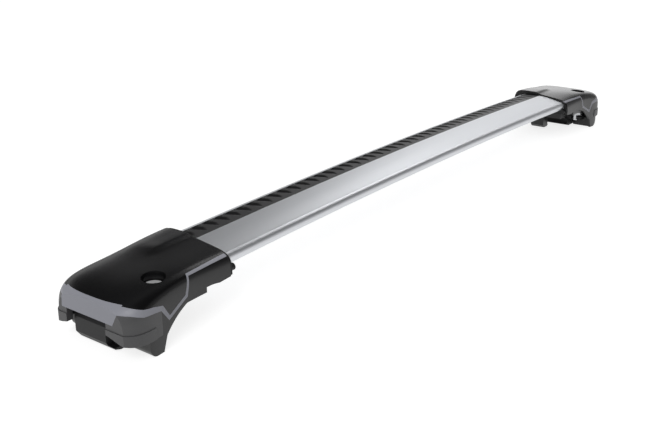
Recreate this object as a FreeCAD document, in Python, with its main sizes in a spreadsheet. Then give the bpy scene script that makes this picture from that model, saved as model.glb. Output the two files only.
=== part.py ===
"""Roof rack crossbar for raised rails.

X runs along the bar, -Y is the leading edge, +Z is up, in millimetres.
The origin lies under the middle of the bar, on the surface that the feet stand on.
"""
import FreeCAD, Part
import math
import os

os.makedirs("parts", exist_ok=True)
doc = FreeCAD.newDocument("roof_rack_crossbar")
Vec = FreeCAD.Vector
X_AXIS, Y_AXIS, Z_AXIS = Vec(1, 0, 0), Vec(0, 1, 0), Vec(0, 0, 1)

SIZES = (
    ("bar_top", 68.4, "height of the strip's top at the middle of the bar"),
    ("arch_half_span", 390, "middle of the bar to the end of its bend"),
    ("arch_rise", 5.4, "rise of the bend over that span"),
    ("bar_reach", 38, "how far the bar reaches into a foot"),
    ("nose_y", 40, "leading edge from the middle of the chord"),
    ("tail_y", 40, "trailing edge from the middle of the chord"),
    ("bar_depth", 20, "depth of the wing profile below the strip's top"),
    ("bar_wall", 2.2, "wall of the extrusion"),
    ("track_front", 1.2, "front lip of the track's mouth"),
    ("track_mouth", 23.2, "width of the track's mouth"),
    ("track_width", 30.5, "width of the track inside"),
    ("track_depth", 11, "depth of the track's floor below the strip's top"),
    ("track_lip", 4.4, "thickness of the track's lips"),
    ("strip_gap", 0.2, "gap at each side of the rubber strip"),
    ("strip_web", 3.6, "thickness of the strip's top"),
    ("rib_pitch", 16.4, "pitch of the strip's ribs"),
    ("hollow_depth", 1.0, "depth of the hollows between ribs"),
    ("hollow_width", 8.5, "width of a hollow at the back of the strip"),
    ("hollow_lean", 3, "how far a hollow's front tip lies outward"),
    ("hollow_border", 2.5, "plain border in front of the hollows"),
    ("plug_plate", 2.5, "plate of the bar's end plug"),
    ("plug_stub", 9, "stub of the end plug inside the bar"),
    ("foot_inner", 391.5, "middle of the bar to a foot's inner edge"),
    ("foot_length", 132.5, "length of a foot"),
    ("foot_half_width_inner", 46, "half width of a foot at its inner edge"),
    ("foot_half_width_outer", 57.5, "half width that the flare reaches at the outer end"),
    ("crown_inner", 64.3, "height of the cover at its inner edge"),
    ("crown_outer", 54.5, "height that the cover falls to at the outer end"),
    ("crown_tilt", 0.11, "forward slope of the cover at its inner edge"),
    ("spring_line", 20, "height where the sides start to turn over"),
    ("hump_height", 1.9, "rise of the hump over the track"),
    ("hump_front", 3.5, "where the hump starts, behind the middle of the chord"),
    ("hump_length", 51, "length of the hump"),
    ("cover_wall", 3, "wall of the cover, the trim and the skirts"),
    ("guard_wall", 6, "wall of the end guard"),
    ("trim_half_width", 1.65, "half width of the pin stripe on the sides"),
    ("edge_half_width", 1.05, "half width of the stripe along the shoulder"),
    ("band_half_width", 3.1, "half width of the band round the corners"),
    ("panel_bottom", 32.5, "lower edge of the trim's end panel"),
    ("panel_top", 51, "upper edge of the trim's end panel"),
    ("joint_gap", 0.15, "gap between moulded pieces"),
    ("slide_gap", 0.4, "gap between the bar and what slides on it"),
    ("rail_in", 57.5, "inner edge of a foot to the axis of the roof rail"),
    ("rail_z", 13, "height of the rail's axis"),
    ("rail_radius", 15, "radius of the roof rail"),
    ("saddle_thickness", 2.8, "thickness of the saddle's rubber"),
    ("cradle_front", 24, "front end of the cradle, before the chord's middle"),
    ("cradle_back", 36, "back end of the cradle"),
    ("leg_front", 4, "front end of the fixed inner jaw"),
    ("leg_back", 26, "back end of the fixed inner jaw"),
    ("leg_bottom", 3.5, "lower end of the fixed inner jaw"),
    ("deck_bottom", 31.3, "underside of the deck"),
    ("deck_thickness", 4.2, "thickness of the deck"),
    ("screw_in", 79.5, "inner edge of a foot to the tension screw"),
    ("screw_y", -28.5, "tension screw from the middle of the chord"),
    ("screw_radius", 4, "shank of the tension screw"),
    ("screw_head_radius", 6.5, "head of the tension screw"),
    ("screw_head_height", 7.2, "height of that head"),
    ("screw_end", 12, "lower end of the tension screw"),
    ("screw_socket", 3.4, "corner radius of the screw's hexagon socket"),
    ("socket_depth", 4.5, "depth of that socket"),
    ("thread_gap", 0.05, "radial gap of turning pieces"),
    ("washer_radius", 8, "outer radius of the thrust washer"),
    ("washer_thickness", 1.5, "thickness of the thrust washer"),
    ("nut_radius", 5.5, "radius of the barrel nut"),
    ("nut_length", 20, "length of the barrel nut"),
    ("nut_z", 24.5, "height of the barrel nut's axis"),
    ("lock_radius", 8.2, "radius of the lock cylinder"),
    ("lock_face", 53.4, "height of the lock's face"),
    ("lock_length", 7.6, "length of the lock cylinder"),
    ("keyway_width", 1.6, "width of the key slot"),
    ("keyway_length", 8, "length of the key slot"),
    ("housing_wall", 1.8, "wall of the lock's housing"),
    ("well_radius", 11.4, "radius of the well's rim"),
    ("pivot_in", 105.5, "inner edge of a foot to the jaw's pivot"),
    ("pivot_z", 25, "height of the jaw's pivot"),
    ("pin_radius", 3, "radius of the pivot pin"),
    ("notch_front", -20, "front side of the notch for the jaw"),
    ("notch_back", 31, "back side of the notch for the jaw"),
    ("jaw_gap", 1.4, "gap at each side of the jaw"),
    ("jaw_bottom", 1, "underside of the jaw"),
    ("jaw_nose", 16.5, "pivot to the jaw's outer face"),
    ("jaw_toe", 30.5, "pivot to the tip of the jaw's toe"),
    ("jaw_corner", 9, "radius of the jaw's lower back corner"),
    ("lip_thickness", 3.2, "thickness of the jaw's lip"),
    ("lip_length", 9, "how far the lip stands out under its recess"),
    ("jaw_pad_thickness", 2.2, "thickness of the jaw's rubber"),
    ("lobe_inner", 11, "pivot to the inner side of the leg lobes"),
    ("lobe_outer", 11, "pivot to the outer side of the leg lobes"),
    ("heel_outer", 3.5, "pivot to the outer side of the legs' heels"),
    ("guard_edge", 16, "height of the guard's lower edge at its corners"),
    ("guard_start", 92.5, "inner edge of a foot to the start of the guard"),
    ("guard_step", 27, "height of the step round the guard's corners"),
    ("guard_flare", 0.8, "how far the guard stands out below its step"),
    ("screw_clearance", 0.3, "radial gap of the screw in the deck and the washer"),
    ("fork_clearance", 1, "gap between the screw and the jaw's fork"),
    ("nut_clearance", 0.3, "gap between the barrel nut and the jaw's tongue"),
    ("collar_lip", 3, "how far the collar stands out of the foot"),
)

sheet = doc.addObject("Spreadsheet::Sheet", "sizes")
for row, (name, value, note) in enumerate(SIZES, start=1):
    sheet.set("A%d" % row, name)
    sheet.set("B%d" % row, str(value))
    sheet.set("C%d" % row, note)
    sheet.setAlias("B%d" % row, name)
doc.recompute()


def size(name):
    """Value of a driving dimension, read from the sheet."""
    return float(sheet.get(name))


FOOT_INNER = size("foot_inner")
FOOT_OUTER = FOOT_INNER + size("foot_length")
RAIL_X = FOOT_INNER + size("rail_in")
SCREW_X = FOOT_INNER + size("screw_in")
PIVOT_X = FOOT_INNER + size("pivot_in")
BAR_TOP = size("bar_top")
WALL = size("cover_wall")
FAR = 60.0
LOW = -12.0


# Bent line of the bar

ARCH_RADIUS = (size("arch_half_span") ** 2 + size("arch_rise") ** 2) / (2 * size("arch_rise"))
END_SLOPE = math.asin(size("arch_half_span") / ARCH_RADIUS)
BEND_END = Vec(size("arch_half_span"), 0, BAR_TOP - size("arch_rise"))
END_DIRECTION = Vec(math.cos(END_SLOPE), 0, -math.sin(END_SLOPE))


def bar_line_point(x):
    """Point of the strip's top line on the straight stretch beside the bend."""
    return BEND_END + END_DIRECTION * ((x - BEND_END.x) / END_DIRECTION.x)


BAR_END = bar_line_point(FOOT_INNER + size("bar_reach"))


# Helpers for sketches and shapes

def origin_plane(body, role):
    """Origin plane of a body with the given role."""
    return next(item for item in body.Origin.OriginFeatures if item.Role == role)


def new_sketch(body, role, name):
    """Sketch of a body, attached to one of its origin planes."""
    sketch = body.newObject("Sketcher::SketchObject", name)
    sketch.AttachmentSupport = (origin_plane(body, role), [""])
    sketch.MapMode = "FlatFace"
    return sketch


def polygon_edges(points):
    """Straight edges round a list of points."""
    return [Part.LineSegment(a, b) for a, b in zip(points, points[1:] + points[:1])]


def wire_of(edges):
    """Closed wire from sketch-like geometry."""
    return Part.Wire([edge.toShape() for edge in edges])


def side_prism(points, y_low, y_high):
    """Prism along Y over a closed line of (x, z) points."""
    face = Part.Face(Part.makePolygon([Vec(x, y_low, z) for x, z in points + points[:1]]))
    return face.extrude(Vec(0, y_high - y_low, 0))


def end_prism(points, x_low, x_high):
    """Prism along X over a closed line of (y, z) points."""
    face = Part.Face(Part.makePolygon([Vec(x_low, y, z) for y, z in points + points[:1]]))
    return face.extrude(Vec(x_high - x_low, 0, 0))


def block(x_low, x_high, y_low, y_high, z_low, z_high):
    """Box between two corners."""
    return Part.makeBox(x_high - x_low, y_high - y_low, z_high - z_low, Vec(x_low, y_low, z_low))


def cylinder(radius, start, end):
    """Cylinder from one point to another."""
    return Part.makeCylinder(radius, (end - start).Length, start, end - start)


def largest_solid(shape):
    """Biggest solid of a shape, without the slivers that a cut leaves."""
    return max(shape.Solids, key=lambda solid: solid.Volume)


def both_sides(shape):
    """A shape and its mirror image across the middle of the chord."""
    return shape.fuse(shape.mirror(Vec(0, 0, 0), Y_AXIS))


def feature(name, shape):
    """Document object that holds a computed shape."""
    item = doc.addObject("Part::Feature", name)
    item.Label = name
    item.Shape = shape
    return item


# Wing profile of the bar: (y, height below the strip's top)

def wing_outline(height):
    """Outer line of the extrusion, round nose at the front and thin tail behind."""
    nose, tail, depth = -size("nose_y"), size("tail_y"), size("bar_depth")
    front_lip = size("track_front")
    back_lip = front_lip + size("track_mouth")
    ridge = Vec(nose + 6.5, height - 5.9)
    keel_front = Vec(nose + 5.5, height - depth + 1.4)
    keel_back = Vec(nose + 50, height - depth)
    tail_low = Vec(tail - 1.2, height - 10.2)
    tail_top = Vec(tail - 2, height - 6.2)
    return [
        Part.Arc(Vec(front_lip, height), Vec((front_lip + ridge.x) / 2, height - 2.3), ridge),
        Part.Arc(ridge, Vec(nose, height - 12.4), keel_front),
        Part.Arc(keel_front, Vec(nose + 25, height - depth), keel_back),
        Part.LineSegment(keel_back, tail_low),
        Part.Arc(tail_low, Vec(tail, height - 8), tail_top),
        Part.Arc(tail_top, Vec((tail_top.x + back_lip) / 2, height - 2.2), Vec(back_lip, height)),
    ]


def track_outline(height):
    """T-shaped track that is open at the top, from the back lip to the front lip."""
    front = size("track_front")
    back = front + size("track_mouth")
    overhang = (size("track_width") - size("track_mouth")) / 2
    lip = height - size("track_lip")
    floor = height - size("track_depth")
    points = [
        Vec(back, height), Vec(back, lip), Vec(back + overhang, lip), Vec(back + overhang, floor),
        Vec(front - overhang, floor), Vec(front - overhang, lip), Vec(front, lip), Vec(front, height),
    ]
    return [Part.LineSegment(a, b) for a, b in zip(points, points[1:])]


def hollow_outlines(height):
    """The three closed chambers of the extrusion."""
    wall, depth = size("bar_wall"), size("bar_depth")
    nose, tail = -size("nose_y"), size("tail_y")
    overhang = (size("track_width") - size("track_mouth")) / 2
    track_front = size("track_front") - overhang
    track_back = track_front + size("track_width")
    under_track = height - size("track_depth") - wall
    bottom = height - depth + wall
    front = [
        Vec(nose + 6, height - 8.8), Vec(track_front - wall, height - 4.6), Vec(track_front - wall, bottom),
        Vec(nose + 8, bottom + 1.2), Vec(nose + wall + 0.8, height - 12.5),
    ]
    middle = [
        Vec(track_front, under_track), Vec(track_back - 4, under_track),
        Vec(nose + 50, bottom + 0.4), Vec(track_front, bottom),
    ]
    back = [
        Vec(track_back + wall, height - 5.6), Vec(tail - 4, height - 7.2),
        Vec(tail - 4, height - 9), Vec(track_back + wall, height - 10.4),
    ]
    return [front, middle, back]


def spine_edges():
    """Half of the bar's line, from its middle to its sawn end."""
    middle = Vec(0, BAR_TOP)
    bend_end = Vec(BEND_END.x, BEND_END.z)
    half = END_SLOPE / 2
    way = Vec(ARCH_RADIUS * math.sin(half), BAR_TOP - ARCH_RADIUS * (1 - math.cos(half)))
    return [Part.Arc(middle, way, bend_end), Part.LineSegment(bend_end, Vec(BAR_END.x, BAR_END.z))]


def swept_body(name, outlines):
    """Body swept along half of the bar's line and mirrored to the other half."""
    body = doc.addObject("PartDesign::Body", name)
    body.Label = name
    profile = new_sketch(body, "YZ_Plane", name + "_profile")
    for outline in outlines:
        profile.addGeometry(outline, False)
    spine = new_sketch(body, "XZ_Plane", name + "_line")
    spine.addGeometry(spine_edges(), False)
    doc.recompute()
    sweep = body.newObject("PartDesign::AdditivePipe", name + "_sweep")
    sweep.Profile = profile
    sweep.Spine = (spine, ["Edge1", "Edge2"])
    doc.recompute()
    mirrored = body.newObject("PartDesign::Mirrored", name + "_mirrored")
    mirrored.Originals = [sweep]
    mirrored.MirrorPlane = (origin_plane(body, "YZ_Plane"), [""])
    body.Tip = mirrored
    doc.recompute()
    return body


def make_bar():
    """Arched wing-profile extrusion with its track and three chambers."""
    outer = wing_outline(BAR_TOP) + track_outline(BAR_TOP)
    hollows = [polygon_edges(points) for points in hollow_outlines(BAR_TOP)]
    return swept_body("bar_extrusion", [outer] + hollows)


def strip_outline():
    """Rubber strip: a flat top in the track's mouth and two legs to its floor."""
    gap, web = size("strip_gap"), size("strip_web")
    front = size("track_front") + gap
    back = size("track_front") + size("track_mouth") - gap
    foot = BAR_TOP - size("track_depth") + gap
    leg = 2.0
    inset = 2.5
    points = [
        Vec(front, BAR_TOP), Vec(back, BAR_TOP), Vec(back, BAR_TOP - web),
        Vec(back - inset, BAR_TOP - web), Vec(back - inset, foot), Vec(back - inset - leg, foot),
        Vec(back - inset - leg, BAR_TOP - web), Vec(front + inset + leg, BAR_TOP - web),
        Vec(front + inset + leg, foot), Vec(front + inset, foot),
        Vec(front + inset, BAR_TOP - web), Vec(front, BAR_TOP - web),
    ]
    return polygon_edges(points)


def fall_at(x):
    """How far the strip's top lies under its highest point at a distance from the middle."""
    if abs(x) > BEND_END.x:
        return BAR_TOP - bar_line_point(abs(x)).z
    return ARCH_RADIUS - math.sqrt(ARCH_RADIUS ** 2 - x ** 2)


def hollow(x):
    """One leaf-shaped hollow between two ribs, open at the back of the strip."""
    half = size("hollow_width") / 2
    floor = BAR_TOP - fall_at(x) - size("hollow_depth")
    front = size("track_front") + size("hollow_border")
    back = size("track_front") + size("track_mouth") + 1
    middle = (front + back) / 2
    tip = Vec(x + size("hollow_lean"), front, floor)
    left, right = Vec(x - half, back, floor), Vec(x + half, back, floor)
    edges = [
        Part.Arc(tip, Vec(x - half * 0.7, middle, floor), left), Part.LineSegment(left, right),
        Part.Arc(right, Vec(x + half * 1.1, middle, floor), tip),
    ]
    return Part.Face(wire_of(edges)).extrude(Vec(0, 0, 3 * size("hollow_depth")))


def make_strip():
    """Rubber strip that fills the track's mouth, with cross ribs between its hollows."""
    body = swept_body("strip_blank", [strip_outline()])
    pitch = size("rib_pitch")
    count = int((FOOT_INNER - 10) / pitch)
    hollows = [hollow(index * pitch) for index in range(-count, count + 1)]
    return feature("rubber_strip", body.Shape.cut(Part.makeCompound(hollows)))


def wing_at_end(grow, start, length):
    """Prism of the wing profile along the bar's straight end, grown or shrunk all round."""
    outline = wing_outline(0)
    lips = [outline[-1].EndPoint, outline[0].StartPoint]
    outline.append(Part.LineSegment(lips[0], lips[1]))
    wire = wire_of(outline)
    if grow:
        wire = wire.makeOffset2D(grow)
    face = Part.Face(wire)
    face.transformShape(FreeCAD.Matrix(0, 0, 1, 0, 1, 0, 0, 0, 0, 1, 0, 0, 0, 0, 0, 1))
    solid = face.extrude(Vec(length, 0, 0))
    solid.rotate(Vec(0, 0, 0), Y_AXIS, math.degrees(END_SLOPE))
    solid.translate(bar_line_point(start))
    return solid


def make_end_plug():
    """Plate over the sawn end with a stub in the front chamber."""
    plate = wing_at_end(-0.4, BAR_END.x, size("plug_plate"))
    front = hollow_outlines(0)[0]
    wire = Part.makePolygon(front + front[:1]).makeOffset2D(-0.3)
    face = Part.Face(wire)
    face.transformShape(FreeCAD.Matrix(0, 0, 1, 0, 1, 0, 0, 0, 0, 1, 0, 0, 0, 0, 0, 1))
    stub = face.extrude(Vec(-size("plug_stub"), 0, 0))
    stub.rotate(Vec(0, 0, 0), Y_AXIS, math.degrees(END_SLOPE))
    stub.translate(BAR_END)
    return plate.fuse(stub).removeSplitter()


# Outer form of a foot, as sections across the bar

SHOULDER_SHARE = 0.74
SHOULDER_STEPS = 5
TOP_STEPS = (0.4, 0.05, -0.06, -0.12, -0.18, -0.26, -0.5)


def smooth_step(value):
    """Rise from 0 to 1 with flat ends."""
    value = min(max(value, 0.0), 1.0)
    return value * value * (3 - 2 * value)


def end_round(x, start, end, power):
    """Share of its full size that the foot keeps as it closes towards its outer end."""
    if x <= start:
        return 1.0
    return (1 - ((x - start) / (end - start)) ** power) ** (1 / power)


def foot_station(x, inset):
    """Half width, crown height, forward slope and squareness of the foot at x."""
    along = min(max((x - FOOT_INNER) / size("foot_length"), 0.0), 1.0)
    outer = FOOT_OUTER - inset
    spring = size("spring_line")
    width_in, width_out = size("foot_half_width_inner"), size("foot_half_width_outer")
    width = width_in + (width_out - width_in) * along ** 2.4 - inset
    width *= end_round(x, FOOT_OUTER - 47, outer, 4)
    crown = size("crown_inner") + (size("crown_outer") - size("crown_inner")) * along ** 2 - inset
    crown = spring + (crown - spring) * end_round(x, FOOT_OUTER - 47, outer + 6, 3.5)
    tilt = size("crown_tilt") * (1 - smooth_step(along / 0.6))
    squareness = 7.5 - 4.5 * along ** 5
    return width, crown, tilt, squareness


def hump_rise(x, y, half_width):
    """Extra height of the hump over the track."""
    start = size("hump_front")
    across = smooth_step((y - start) / 5.5) * (1 - smooth_step((y - half_width * 0.62) / (half_width * 0.3)))
    along = 1 - smooth_step((x - FOOT_INNER - size("hump_length") + 9) / 9)
    fade = 1 - 0.9 * smooth_step((y - start - 5) / 22)
    return size("hump_height") * across * along * fade


def section_points(x, inset):
    """Points over the foot's section at x, from its front spring line to its back one."""
    width, crown, tilt, power = foot_station(x, inset)
    spring = size("spring_line")
    height = crown - spring
    turn = math.acos(SHOULDER_SHARE ** (power / 2))
    front = []
    for step in range(SHOULDER_STEPS + 1):
        angle = turn * (step / SHOULDER_STEPS) ** 1.3
        front.append((-width * math.cos(angle) ** (2 / power), math.sin(angle) ** (2 / power)))
    top = [(-width * share, (1 - abs(share) ** power) ** (1 / power)) for share in TOP_STEPS]
    back = [(-y, level) for y, level in reversed(front)]
    points = []
    for y, level in front + top + back:
        lift = tilt * y * level + hump_rise(x, y, width) * smooth_step((level - 0.5) / 0.4)
        points.append(Vec(x, y, spring + height * level + lift))
    return points


STATION_SHARES = (0.0, 0.12, 0.24, 0.31, 0.37, 0.44, 0.55, 0.67, 0.77, 0.85, 0.91, 0.95, 0.972)


def clamped(count):
    """Multiplicities and knots of a cubic spline that ends on its first and last poles."""
    inner = count - 4
    return [4] + [1] * inner + [4], [float(index) for index in range(inner + 2)]


def foot_net(inset, low, open_inner):
    """Poles of the foot's skin: one row for each station along the bar."""
    length = FOOT_OUTER - inset - 4 - FOOT_INNER
    spring = size("spring_line")
    net = []
    for share in STATION_SHARES:
        x = FOOT_INNER + share / STATION_SHARES[-1] * length
        if share == 0.0:
            x -= open_inner
        crown = section_points(x, inset)
        first, last = crown[0], crown[-1]
        front = [Vec(x, first.y, low), Vec(x, first.y, (low + spring) / 2)]
        back = [Vec(x, last.y, (low + spring) / 2), Vec(x, last.y, low)]
        net.append(front + crown + back)
    return net


def foot_solid(inset, low=LOW, open_inner=0.0):
    """Solid of the foot's outer form, smaller by an inset all round but at its inner end."""
    net = foot_net(inset, low, open_inner)
    row_mults, row_knots = clamped(len(net))
    column_mults, column_knots = clamped(len(net[0]))
    skin = Part.BSplineSurface()
    skin.buildFromPolesMultsKnots(net, row_mults, column_mults, row_knots, column_knots, False, False, 3, 3)
    ends = []
    for parameter, row in ((row_knots[0], net[0]), (row_knots[-1], net[-1])):
        arc = skin.uIso(parameter).toShape()
        ends.append(Part.Face(Part.Wire([arc, Part.makeLine(row[-1], row[0])])))
    rails = [skin.vIso(column_knots[0]).toShape(), skin.vIso(column_knots[-1]).toShape()]
    bottom = Part.Face(Part.Wire(Part.__sortEdges__(rails + [
        Part.makeLine(net[0][0], net[0][-1]), Part.makeLine(net[-1][0], net[-1][-1])])))
    shell = Part.makeShell([skin.toShape(), bottom] + ends)
    shell.sewShape()
    solid = Part.Solid(shell)
    if solid.Volume < 0:
        solid.reverse()
    return solid


# Dividing lines of a foot

def ribbon(points, half_widths):
    """Outline of a band of varying width along a line of (x, z) points."""
    upper, lower = [], []
    for index, (x, z) in enumerate(points):
        before = points[max(index - 1, 0)]
        after = points[min(index + 1, len(points) - 1)]
        along_in = Vec(x - before[0], z - before[1])
        along_out = Vec(after[0] - x, after[1] - z)
        if along_in.Length < 1e-6:
            along_in = along_out
        if along_out.Length < 1e-6:
            along_out = along_in
        along_in.normalize()
        along_out.normalize()
        bisector = Vec(-(along_in.y + along_out.y), along_in.x + along_out.x)
        bisector.normalize()
        stretch = bisector.dot(Vec(-along_in.y, along_in.x))
        reach = half_widths[index] / max(stretch, 0.45)
        upper.append((x + bisector.x * reach, z + bisector.y * reach))
        lower.append((x - bisector.x * reach, z - bisector.y * reach))
    return upper + lower[::-1]


def trim_line():
    """Middle line of the stripe and the band on a foot's side, with its half widths."""
    edge, thin, wide = size("edge_half_width"), size("trim_half_width"), size("band_half_width")
    band_z = size("panel_top") - wide
    return [
        ((FOOT_INNER - 6, 57.4), edge), ((FOOT_INNER + 54, 57.0), edge),
        ((FOOT_INNER + 59.5, 40), thin), ((FOOT_INNER + 83, 28.6), thin),
        ((FOOT_INNER + 91.5, 41), wide * 0.7), ((FOOT_INNER + 101, band_z - 5), wide * 0.9),
        ((FOOT_INNER + 112, band_z - 4), wide), ((FOOT_INNER + 122, band_z - 1), wide),
        ((FOOT_OUTER + 10, band_z), wide),
    ]


def trim_region():
    """Where the trim lies: stripe and band on both sides, panel at the end."""
    line = trim_line()
    side = side_prism(ribbon([point for point, _ in line], [half for _, half in line]), -FAR - 10, -18)
    top, bottom = size("panel_top"), size("panel_bottom")
    outline = [(36, top), (37, bottom), (-28.5, bottom), (-35, 44), (-35, top)]
    panel = end_prism(outline, FOOT_OUTER - 30, FOOT_OUTER + 1)
    return both_sides(side).fuse(panel)


def lower_region():
    """Everything below the trim's middle line."""
    line = [point for point, _ in trim_line()]
    side = side_prism(line + [(FOOT_OUTER + 10, LOW - 5), (FOOT_INNER - 6, LOW - 5)], -FAR - 10, -18)
    band_z = size("panel_top") - size("band_half_width")
    middle = block(FOOT_OUTER - 22, FOOT_OUTER + 10, -19, 19, LOW - 5, band_z)
    return both_sides(side).fuse(middle)


def arch_cut(y_low, y_high):
    """Space under the skirts that clears the roof rail."""
    inner, low = FOOT_INNER - 20, LOW - 8
    corner = Vec(FOOT_INNER + 15.5, 0, 36.4)
    knee = Vec(FOOT_INNER + 87.1, 0, 14.1)
    heel = Vec(FOOT_INNER + 92, 0, 1)
    foot = Vec(heel.x, 0, low)
    edges = [
        Part.LineSegment(Vec(inner, 0, 38.6), corner),
        Part.Arc(corner, Vec(FOOT_INNER + 69, 0, 28.5), knee),
        Part.LineSegment(knee, heel),
        Part.LineSegment(heel, foot),
        Part.LineSegment(foot, Vec(inner, 0, low)),
        Part.LineSegment(Vec(inner, 0, low), Vec(inner, 0, 38.6)),
    ]
    face = Part.Face(wire_of(edges))
    prism = face.extrude(Vec(0, y_high - y_low, 0))
    prism.translate(Vec(0, y_low, 0))
    return prism


def heel_cut(y_low, y_high):
    """Space outward of the legs' rounded heels and under the guard."""
    outer = PIVOT_X + size("heel_outer")
    edge = size("guard_edge")
    low = LOW - 8
    toe, ankle = Vec(outer - 9, 0, 0), Vec(outer, 0, 9)
    top = Vec(outer, 0, edge + 12)
    far = FOOT_OUTER + 15
    edges = [
        Part.Arc(toe, Vec(outer - 2.6, 0, 2.6), ankle), Part.LineSegment(ankle, top),
        Part.LineSegment(top, Vec(far, 0, top.z)), Part.LineSegment(Vec(far, 0, top.z), Vec(far, 0, low)),
        Part.LineSegment(Vec(far, 0, low), Vec(toe.x, 0, low)), Part.LineSegment(Vec(toe.x, 0, low), toe),
    ]
    prism = Part.Face(wire_of(edges)).extrude(Vec(0, y_high - y_low, 0))
    prism.translate(Vec(0, y_low, 0))
    return prism


def guard_region():
    """Where the dark end guard lies, outward of the legs and above their heels."""
    start, edge = FOOT_INNER + size("guard_start"), size("guard_edge")
    side = block(start, FOOT_OUTER + 10, -FAR - 10, FAR + 10, LOW - 5, 60)
    under = end_prism([
        (0, edge + 8), (23, edge + 5.3), (38, edge + 1.5), (54, edge), (FAR + 12, edge - 0.5),
        (FAR + 12, LOW - 8), (0, LOW - 8)], start - 5, FOOT_OUTER + 12)
    return side.cut(both_sides(under))


def notch():
    """Opening in the outer end, through which the jaw shows."""
    return block(
        FOOT_OUTER - 42, FOOT_OUTER + 10, size("notch_front"), size("notch_back"),
        LOW - 5, size("panel_bottom"))


def screw_point(z):
    """Point of the tension screw's axis at a height."""
    return Vec(SCREW_X, size("screw_y"), z)


def rail_cylinder(radius, y_low, y_high):
    """Cylinder about the roof rail's axis."""
    return cylinder(radius, Vec(RAIL_X, y_low, size("rail_z")), Vec(RAIL_X, y_high, size("rail_z")))


OUTER_FORM = foot_solid(0)
INNER_FORM = foot_solid(WALL, open_inner=2)
GUARD_INNER = foot_solid(size("guard_wall"), open_inner=2)
SHELL = OUTER_FORM.cut(INNER_FORM)
TRIM_REGION = trim_region()
LOWER_REGION = lower_region()
SPACE_START = FOOT_INNER - 30
SPACE_END = BAR_END.x + size("plug_plate") + 3
BAR_SPACE = wing_at_end(size("slide_gap"), SPACE_START, SPACE_END - SPACE_START)


def above_floor(shape):
    """Part of a shape that lies above the surface under the feet."""
    return shape.common(block(FOOT_INNER - 40, FOOT_OUTER + 20, -FAR - 20, FAR + 20, 0, 90))


def make_top_cover():
    """Crowned cover above the trim line, with the well for the lock."""
    cover = SHELL.cut(LOWER_REGION).cut(TRIM_REGION)
    face = size("lock_face")
    floor = face - size("lock_length")
    over = size("bar_top") - face
    rim = size("well_radius")
    bore = size("lock_radius") + size("housing_wall") + size("joint_gap")
    well = Part.makeCone(bore + WALL, rim + WALL, 12, screw_point(floor + 2), Z_AXIS)
    cover = cover.fuse(well.common(OUTER_FORM))
    funnel = Part.makeCone(bore, rim + 0.6, over, screw_point(face), Z_AXIS)
    shaft = cylinder(bore, screw_point(floor - 5), screw_point(face + 0.01))
    return cover.cut(funnel).cut(shaft).cut(BAR_SPACE).removeSplitter()


def make_trim():
    """Blue-grey inlay: stripe, band round the corners and end panel."""
    return SHELL.common(TRIM_REGION).cut(BAR_SPACE).removeSplitter()


def make_foot_body():
    """Black structural moulding: skirts, legs, deck, cradle and fixed inner jaw."""
    wide = (-FAR - 10, FAR + 10)
    skirts = SHELL.common(LOWER_REGION).cut(TRIM_REGION).cut(arch_cut(*wide)).cut(heel_cut(*wide))
    skirts = skirts.cut(guard_region())
    deck_bottom = size("deck_bottom")
    deck_top = deck_bottom + size("deck_thickness")
    deck = block(FOOT_INNER + 30, FOOT_OUTER - 14, -FAR, FAR, deck_bottom, deck_top)
    floor_top = bar_line_point(FOOT_INNER + 20).z - size("bar_depth")
    floor = block(FOOT_INNER + 4, FOOT_INNER + 62, -FAR, FAR, deck_bottom + 5, floor_top + 4)
    riser = block(FOOT_INNER + 30, FOOT_INNER + 62, -FAR, FAR, deck_top - 1, floor_top)
    seat = size("rail_radius") + size("saddle_thickness")
    cradle_bottom = size("rail_z") + 9
    cradle = block(
        FOOT_INNER + 28, RAIL_X + 12.5, -size("cradle_front"), size("cradle_back"), cradle_bottom, deck_top)
    leg_low = size("leg_bottom")
    leg = side_prism([
        (FOOT_INNER + 24, deck_top), (FOOT_INNER + 27, leg_low + 4), (FOOT_INNER + 31, leg_low),
        (RAIL_X - 11, leg_low), (RAIL_X - 9, deck_top),
    ], size("leg_front"), size("leg_back"))
    lobe_low, lobe_high = PIVOT_X - size("lobe_inner"), PIVOT_X + size("lobe_outer")
    ankle = size("guard_edge") + 1
    lobes = block(lobe_low, lobe_high, -FAR, FAR, ankle, deck_top)
    lobes = lobes.fuse(block(lobe_low, lobe_high, -FAR, FAR, 0, ankle).cut(heel_cut(*wide)))
    lobes = lobes.cut(block(
        lobe_low - 5, FOOT_OUTER, size("notch_front"), size("notch_back"), LOW, deck_bottom))
    core = deck.fuse([floor, riser, lobes, cradle, leg]).common(foot_solid(WALL - 0.3, open_inner=2))
    core = core.cut(SHELL.cut(LOWER_REGION.cut(TRIM_REGION)))
    core = core.cut(rail_cylinder(seat, -FAR, FAR))
    core = core.cut(cylinder(size("washer_radius") + 1, screw_point(deck_top), screw_point(FAR)))
    screw_hole = size("screw_radius") + size("screw_clearance")
    core = core.cut(cylinder(screw_hole, screw_point(0), screw_point(FAR)))
    pin_low = Vec(PIVOT_X, size("notch_front") - 13, size("pivot_z"))
    pin_high = Vec(PIVOT_X, size("notch_back") + 10, size("pivot_z"))
    core = core.cut(cylinder(size("pin_radius"), pin_low, pin_high))
    core = core.cut(make_end_guard())
    body = skirts.fuse(core).cut(BAR_SPACE)
    return above_floor(body).removeSplitter()


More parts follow.
